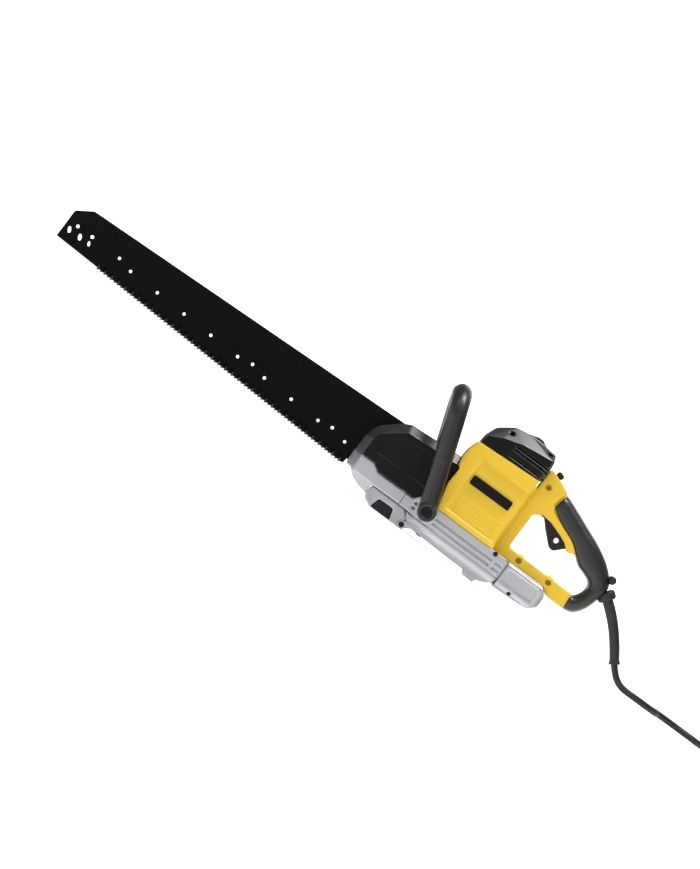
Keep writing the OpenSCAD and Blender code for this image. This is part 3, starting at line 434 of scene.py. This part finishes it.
def between(points, steps):
    """A smooth line through the points, with steps pieces between each pair."""
    out = []
    for i in range(len(points) - 1):
        p = [Vector(points[min(max(i + k, 0), len(points) - 1)]) for k in (-1, 0, 1, 2)]
        for s in range(steps):
            t = s / steps
            out.append(0.5 * (2 * p[1] + (p[2] - p[0]) * t + (2 * p[0] - 5 * p[1] + 4 * p[2] - p[3]) * t * t
                              + (3 * p[1] - p[0] - 3 * p[2] + p[3]) * t * t * t))
    out.append(Vector(points[-1]))
    return out


# ------------------------------------------------------------------ cord

CORD_R = 4.0
LEAD = [
    (838.5, 0, 29.5), (843.5, 0, 22.5), (850, 0, 15), (857, 0, 9.2), (865, 0.2, 5.4), (874, 0.6, 4),
    (885, 2, 4), (896, 6.2, 4), (906, 13, 4), (914.5, 22.4, 4), (920.7, 34.2, 4), (923.6, 47, 4),
    (924, 62, 4), (924, 78, 4), (924, 95, 4), (926.9, 110, 4), (935.7, 123.3, 4), (949, 132, 4),
    (964, 135, 4), (979, 132, 4), (992.3, 123.3, 4), (1001.1, 110, 4), (1004.2, 95, 4), (1004, 83.5, 4),
]
TAIL = [(1003.7, 22.5, 27), (1004.1, 14, 23), (1004.3, 7, 19.6), (1004.3, 1, 18.1), (1004.3, -9, 18)]
COIL_CENTRE = (1060, 53)
COIL_RADII = (55.7, 47.7, 39.7)
COIL_LEVELS = (4, 12, 20, 28)
TURN_STEPS = 24
LEVEL_STEPS = 0.7 * TURN_STEPS  # a turn stays level so far, then goes over to the next one


def coil_points():
    """Twelve turns, wound inwards and outwards in four layers, seen from above against the clock."""
    stations = []
    for number, level in enumerate(COIL_LEVELS):
        radii = COIL_RADII if number % 2 == 0 else COIL_RADII[::-1]
        stations += [(radius, level) for radius in radii]
    points = []
    for turn, (radius, level) in enumerate(stations):
        last = turn == len(stations) - 1
        to_radius, to_level = (radius, level) if last else stations[turn + 1]
        for step in range(TURN_STEPS):
            share = eased(step, LEVEL_STEPS, TURN_STEPS)
            r = radius + (to_radius - radius) * share
            z = level + (to_level - level) * share
            a = math.pi + 2 * math.pi * step / TURN_STEPS
            points.append((COIL_CENTRE[0] + r * math.cos(a), COIL_CENTRE[1] + r * math.sin(a), z))
    points.append((COIL_CENTRE[0] - stations[-1][0], COIL_CENTRE[1], stations[-1][1]))
    return points


def cord_curve():
    curve = bpy.data.curves.new("mains_cord", "CURVE")
    curve.dimensions = "3D"
    curve.bevel_depth = CORD_R * MM
    curve.bevel_resolution = 4
    curve.resolution_u = 5
    curve.use_fill_caps = True
    line = curve.splines.new("BEZIER")
    points = [place(*p) for p in LEAD + coil_points() + TAIL]
    line.bezier_points.add(len(points) - 1)
    for knot, point in zip(line.bezier_points, points):
        knot.co = point
        knot.handle_left_type = knot.handle_right_type = "AUTO"
    curve.materials.append(paints["cord"])
    return curve


cord = bpy.data.objects.new("mains_cord", cord_curve())
bpy.context.scene.collection.objects.link(cord)
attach(cord, "saw_frame")
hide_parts("cord", "cord_coil")


# ------------------------------------------------------------------ refined shells

RECESS_DEPTH = 1.8


def in_recess(x, z):
    """How far inside the housing's sunken side panel a point lies, 0 to 1."""
    share = eased(x, 565, 571)
    corner = math.hypot(max(0, 578 - x), max(0, z - 119))
    return share * eased(-z, -129, -124) * eased(z, 50, 55) * (1 - eased(corner, 6, 13))


def sunk_panel(x, y, z):
    """The side panel of the housing lies lower than its frame, with a soft step."""
    if abs(y) < 36 or x > 641:
        return x, y, z
    return x, y - math.copysign(RECESS_DEPTH * in_recess(x, z), y), z


GRIP_STATIONS = [
    # outer point, inner point, squareness of the inner side
    ((678.5, 152.3), (673.5, 130.5), 7), ((700, 143.6), (690, 120.2), 7), ((722, 134.5), (712, 111.2), 7),
    ((743, 125.8), (724, 102.5), 6), ((762, 115.2), (737, 91.6), 4), ((774.5, 104.8), (748, 87.4), 3),
    ((782.6, 94.5), (756.4, 84), 2.6), ((784.4, 84), (760.8, 79.2), 2.6), ((782.4, 74), (761.7, 73), 2.6),
    ((779, 61.5), (759.6, 66), 2.6), ((774, 50.6), (757.2, 62), 2.6), ((766.5, 42.2), (755, 59.9), 2.6),
    ((758.5, 39.4), (753.6, 59), 3), ((752.8, 38.8), (751, 58.8), 4),
]
GRIP_HALF = 19.0
GRIP_SIDES = 56
GRIP_STEPS = 6  # cross-sections from one station to the next
GRIP_ENDS = (0.90, 0.955, 0.985)  # the last sections at each end are drawn in
OUTER_SQUARE = 2.3


def grip_rings():
    """Cross-sections of the rear grip: round on the palm side, square where it meets the yellow shell."""
    outer = between([(o[0], o[1], 0) for o, i, n in GRIP_STATIONS], GRIP_STEPS)
    inner = between([(i[0], i[1], 0) for o, i, n in GRIP_STATIONS], GRIP_STEPS)
    square = between([(n, 0, 0) for o, i, n in GRIP_STATIONS], GRIP_STEPS)
    rings = []
    last = len(outer) - 1
    for k, (o, i, n) in enumerate(zip(outer, inner, square)):
        end = min(k, last - k)
        shrink = GRIP_ENDS[end] if end < len(GRIP_ENDS) else 1.0
        middle, half = (o + i) / 2, (o - i) / 2
        ring = []
        for j in range(GRIP_SIDES):
            a = 2 * math.pi * j / GRIP_SIDES
            c, s = math.cos(a), math.sin(a)
            power = 2 / (OUTER_SQUARE if c > 0 else n.x)
            u = math.copysign(abs(c) ** power, c) * shrink
            w = math.copysign(abs(s) ** power, s) * shrink
            p = middle + half * u
            ring.append((p.x, w * GRIP_HALF, p.y))
        rings.append(ring)
    return rings


def inside(polygon, x, z):
    """True if the point is inside an outline of points."""
    odd = False
    for (x0, z0), (x1, z1) in zip(polygon, polygon[1:] + polygon[:1]):
        if (z0 > z) != (z1 > z) and x < (x1 - x0) * (z - z0) / (z1 - z0) + x0:
            odd = not odd
    return odd


UNDER_GRIP = [o for o, i, n in GRIP_STATIONS] + [i for o, i, n in GRIP_STATIONS][::-1]


def tucked_in(x, y, z):
    """The yellow core is thinner where the grip covers it."""
    deep = all(inside(UNDER_GRIP, x + dx, z + dz) for dx, dz in ((1, 0), (-1, 0), (0, 1), (0, -1)))
    return (x, y * 0.78, z) if deep else (x, y, z)


SOFTENED = [
    # piece, nodes it stands for, paint, slot, voxel mm, smoothing rounds, share of faces kept, change
    ("housing_shell", ["motor_housing"], "yellow", "yellow_plastic", 0.8, 6, 0.5, sunk_panel),
    ("cap_shell", ["motor_cap"], "cap", "cap_plastic", 0.7, 16, 0.5, None),
    ("handle_shell_left", ["handle_left"], "yellow", "yellow_plastic", 0.7, 12, 0.5, tucked_in),
    ("handle_shell_right", ["handle_right"], "yellow", "yellow_plastic", 0.7, 12, 0.5, tucked_in),
    ("hood_shell_left", ["hood_left"], "hood", "hood_plastic", 0.7, 6, 0.5, None),
    ("hood_shell_right", ["hood_right"], "hood", "hood_plastic", 0.7, 6, 0.5, None),
    ("gear_case_casting", ["gear_case"], "alloy", "cast_alloy", 0.7, 4, 0.5, None),
    ("gear_case_lower", ["gear_case_cover"], "alloy", "cast_alloy", 0.8, 6, 0.5, None),
    ("rear_guide_casting", ["rear_guide_cover"], "alloy", "cast_alloy", 0.7, 6, 0.5, None),
    ("nose_casting", ["front_nose"], "alloy", "cast_alloy", 0.7, 6, 0.5, None),
    ("latch_door", ["latch_cover"], "alloy", "cast_alloy", 0.7, 6, 0.5, None),
    ("latch_catch_button", ["latch_button"], "black", "black_plastic", 0.5, 6, 0.5, None),
    ("front_bail", ["front_handle"], "foam", "handle_rubber", 0.9, 8, 0.4, None),
    ("trigger_lever", ["trigger"], "black", "black_plastic", 0.6, 7, 0.5, None),
]
made = {}
for name, members, paint, slot_name, voxel, rounds, keep, change in SOFTENED:
    mesh = softened(name, [nodes[n].data for n in members], voxel, rounds, keep)
    if change:
        pushed(mesh, change)
    made[name] = new_piece(name, mesh, paint, stands_for=members)

HOOD_PANEL = [(458, 55), (460, 76), (481, 93), (515, 95), (548, 95), (548, 55)]

# The flat flanks of the hood and the cap are matt, their bevels and tops have a sheen.
for name, flank in (("hood_shell_left", 32), ("hood_shell_right", 32), ("cap_shell", 40)):
    mesh = made[name].data
    mesh.materials.append(paints["panel"])
    for face in mesh.polygons:
        sunk = inside(HOOD_PANEL, face.center.x / MM + HALF_LENGTH, face.center.z / MM)
        if (sunk or abs(face.normal.y) > 0.9) and abs(face.center.y) > flank * MM:
            face.material_index = 1

made["rear_grip"] = new_piece("rear_grip", lofted("rear_grip", grip_rings()), "grip",
                              stands_for=["grip"])

LOCK_TILT = math.radians(23)
LOCK_AT = (656.5, 0, 162)
LOCK_AXIS = (math.sin(LOCK_TILT), 0, math.cos(LOCK_TILT))
LOCK_PROFILE = [(0.3, -6), (5.6, -6), (5.6, -3.5), (4.2, -3.3), (4.2, 1.5), (4.9, 2.2), (5.0, 3.4),
                (4.8, 4.8), (4.1, 6.0), (2.8, 6.8), (1.2, 7.0), (0.2, 7.0)]
made["lock_off"] = new_piece("lock_off", turned("lock_off", LOCK_PROFILE, LOCK_AT, LOCK_AXIS), "black",
                             stands_for=["lock_off_button"])

KEY_AT = (781.8, 0, 101)
KEY_PROFILE = [(0.3, -14), (2.4, -14), (4.2, -13.2), (5.0, -11.8), (5.2, -10), (5.2, 10), (5.0, 11.8),
               (4.2, 13.2), (2.4, 14), (0.3, 14)]
HEX_PROFILE = [(0.2, -17), (2.1, -17), (2.4, -16.6), (2.4, 16.6), (2.1, 17), (0.2, 17)]
key_parts = [turned("key", KEY_PROFILE, KEY_AT, (0, 1, 0), (0, 0, 1)),
             turned("key", HEX_PROFILE, KEY_AT, (0, 1, 0), (0, 0, 1), sides=6)]
made["hex_key_holder"] = new_piece("hex_key_holder", joined(key_parts, "hex_key_holder"), "black",
                                   stands_for=["hex_key"])

SLEEVE = [(788, 81.6, 6.4), (796, 75.5, 6.6), (805, 68, 6.6), (815, 58.5, 6.4), (824, 48.5, 6.2),
          (832, 38.5, 6.0), (838.5, 29.5, 5.8), (841.3, 25.6, 5.9), (842.6, 23.8, 6.7), (844, 21.8, 6.9)]
SLEEVE_SIDES = 40


def sleeve_rings():
    """Round cross-sections along the sleeve, square to its line."""
    line = between([(x, z, r) for x, z, r in SLEEVE], 5)
    rings = []
    for k, p in enumerate(line):
        a, b = line[max(k - 1, 0)], line[min(k + 1, len(line) - 1)]
        t = Vector((b.x - a.x, 0, b.y - a.y)).normalized()
        n = Vector((-t.z, 0, t.x))
        middle, across = Vector((p.x, 0, p.y)), Vector((0, 1, 0))
        angles = [2 * math.pi * i / SLEEVE_SIDES for i in range(SLEEVE_SIDES)]
        rings.append([tuple(middle + (n * math.cos(q) + across * math.sin(q)) * p.z) for q in angles])
    return rings


COLLAR_PROFILE = [(0.3, -5.5), (9, -5.5), (10.8, -4.5), (11.4, -2.5), (11.4, 2.4), (10.9, 4.4), (9.6, 5.8),
                  (7, 6.4), (0.3, 6.4)]
COLLAR_TILT = math.radians(127)
COLLAR_AT = (787.5, 0, 82)
COLLAR_AXIS = (math.sin(COLLAR_TILT), 0, math.cos(COLLAR_TILT))
sleeve_mesh = softened("sleeve", [
    lofted("sleeve", sleeve_rings()),
    turned("collar", COLLAR_PROFILE, COLLAR_AT, COLLAR_AXIS),
], 0.5, 5, 0.6)
made["sleeve"] = new_piece("sleeve", sleeve_mesh, "cord", stands_for=["strain_relief"])

PLUG_AT = (1004.3, -5, 18)
PLUG_PROFILE = [(4.2, 0), (5.6, 0.4), (6.2, 1.5), (5.2, 2.6), (6.4, 4), (5.4, 5.2), (6.8, 6.8), (5.8, 8),
                (7.4, 10), (6.4, 11.2), (8.2, 13), (9.4, 15), (10.6, 20), (11.6, 26), (12.6, 32),
                (14.4, 36), (17, 38.4), (18, 40), (18, 46.6), (17.4, 47.8), (16.4, 48), (0.3, 48)]


def finger_grips(angle, t):
    """Six shallow flutes round the plug's middle."""
    return 1 - 0.07 * eased(t, 14, 20) * eased(-t, -38, -32) * (0.5 + 0.5 * math.cos(6 * angle))


made["mains_plug"] = new_piece(
    "mains_plug",
    turned("mains_plug", PLUG_PROFILE, PLUG_AT, (0, -1, 0), (1, 0, 0), sides=72, wave=finger_grips),
    "black", stands_for=["plug"])


def plates(name, boxes, width=0.6):
    """Small bevelled plates, each [x0, x1, y0, y1, z0, z1] in mm."""
    work = bmesh.new()
    for x0, x1, y0, y1, z0, z1 in boxes:
        low_corner, high_corner = place(x0, y0, z0), place(x1, y1, z1)
        size, middle = high_corner - low_corner, (high_corner + low_corner) / 2
        bmesh.ops.create_cube(work, size=1, matrix=Matrix.Translation(middle) @ Matrix.Diagonal((*size, 1)))
    bmesh.ops.bevel(work, geom=list(work.edges), offset=width * MM, segments=2, profile=0.5, affect="EDGES")
    mesh = bpy.data.meshes.new(name)
    work.to_mesh(mesh)
    work.free()
    return mesh


# Plates inside the cap, behind its louvres.
baffle_boxes = [(590, 638, side * 36 - 0.8, side * 36 + 0.8, 145.6, 163) for side in (-1, 1)]
baffle_boxes.append((635, 636.6, -35, 35, 145.8, 163))
new_piece("air_baffle", plates("air_baffle", baffle_boxes), "panel", body="saw_frame")

BEVELLED = [
    # nodes, bevel in mm, paint, slot
    (["guide_bar"], 0.5, "bar", "coated_steel"),
    (["blade_left", "blade_right"], 0.2, "bar", "coated_steel"),
    (["carbide_tips_left", "carbide_tips_right"], 0.25, "carbide", "carbide"),
    (["case_screws", "latch_hinge_pin", "cap_screws"], 0.3, "screw", "black_screws"),
    (["front_handle_bolts"], 0.4, "screw", "black_screws"),
    (["handle_screws"], 0.3, "yellow_screw", "black_screws"),
    (["name_plates"], 0.25, "panel", "black_plastic"),
    (["carrier_left", "carrier_right", "slide_left", "slide_right", "crankshaft", "bar_clamp_bolts"], 0.4,
     "steel", "machined_steel"),
    (["plug_pins"], 0.3, "steel", "machined_steel"),
]
for members, width, paint, slot_name in BEVELLED:
    for n in members:
        made[n] = new_piece(n + "_detail", bevelled(n, width), paint, stands_for=[n],
                            smooth=False)

PAINTED = {
    "steel": ["drive_pin_left", "drive_pin_right", "drive_gear", "crank_rollers", "pinion",
              "armature_shaft", "motor_bearings", "trigger_pin"],
    "bronze": ["crank_bushes", "front_slide_guide", "rear_slide_guide", "commutator", "brush_holders"],
    "winding": ["field_coils"],
    "core": ["armature_core", "stator_core"],
    "carbon": ["carbon_brushes"],
    "black": ["brush_bracket", "fan", "switch_module", "cord_clamp"],
}
for paint, members in PAINTED.items():
    for n in members:
        nodes[n].data.materials.clear()
        nodes[n].data.materials.append(paints[paint])


# ------------------------------------------------------------------ floor, backdrop and light


GLOW_FROM, GLOW_TO = 0.5, 1.3  # m from the saw, where the glow goes over to the far one


def glowing(name, colour, glow, far_glow=None):
    """A matt paint that glows, and changes to another strength away from the saw if one is given."""
    p = Paint(name, colour, 0.9)
    p.shader.inputs["Emission Color"].default_value = (1, 1, 1, 1)
    if far_glow:
        reach = p.add("ShaderNodeVectorMath", operation="LENGTH")
        p.link(p.where, reach.inputs[0])
        strength = p.ranged(reach.outputs["Value"], GLOW_FROM, GLOW_TO, glow, far_glow)
        p.link(strength, p.shader.inputs["Emission Strength"])
    else:
        p.shader.inputs["Emission Strength"].default_value = glow
    p.relief(p.noise(300, 2), 0.00002)
    return p.material


def staged(name, build, material):
    """A piece of the surroundings, which isn't part of the saw."""
    work = bmesh.new()
    build(work)
    mesh = bpy.data.meshes.new(name)
    work.to_mesh(mesh)
    work.free()
    mesh.materials.append(material)
    piece = bpy.data.objects.new(name, mesh)
    bpy.context.scene.collection.objects.link(piece)
    return piece


FLOOR_RADIUS = 30.0


def disc(work):
    bmesh.ops.create_circle(work, cap_ends=True, segments=96, radius=FLOOR_RADIUS)


def ball(work):
    bmesh.ops.create_uvsphere(work, u_segments=64, v_segments=32, radius=FLOOR_RADIUS)


staged("floor", disc, glowing("pale_floor", (0.85, 0.85, 0.85), 0.42, 0.86))
dome = staged("backdrop", ball, glowing("white_backdrop", (1, 1, 1), 1.0))

# Only the camera sees the backdrop.
for visibility in ("visible_diffuse", "visible_glossy", "visible_transmission", "visible_shadow"):
    setattr(dome, visibility, False)

world = bpy.data.worlds.new("studio")
bpy.context.scene.world = world
world.use_nodes = True
world.node_tree.nodes["Background"].inputs["Color"].default_value = (1, 1, 1, 1)
world.node_tree.nodes["Background"].inputs["Strength"].default_value = 0.24


def soft_light(name, at, towards, size, power):
    data = bpy.data.lights.new(name, "AREA")
    data.shape = "RECTANGLE"
    data.size, data.size_y = size
    data.energy = power
    lamp = bpy.data.objects.new(name, data)
    bpy.context.scene.collection.objects.link(lamp)
    lamp.location = at
    lamp.rotation_mode = "QUATERNION"
    lamp.rotation_quaternion = (Vector(towards) - Vector(at)).to_track_quat("-Z", "Y")


soft_light("key", (-1.1, -1.6, 1.9), (0.1, 0, 0.08), (1.2, 0.9), 8.5)
soft_light("top", (0.3, -0.35, 1.9), (0.15, 0, 0.1), (0.8, 0.4), 33)
soft_light("fill", (1.3, -2.2, 0.7), (0.1, 0, 0.08), (1.2, 1.2), 3)

soft_light("behind", (0.5, 2.0, 1.1), (0.1, 0, 0.08), (1.2, 0.9), 7)
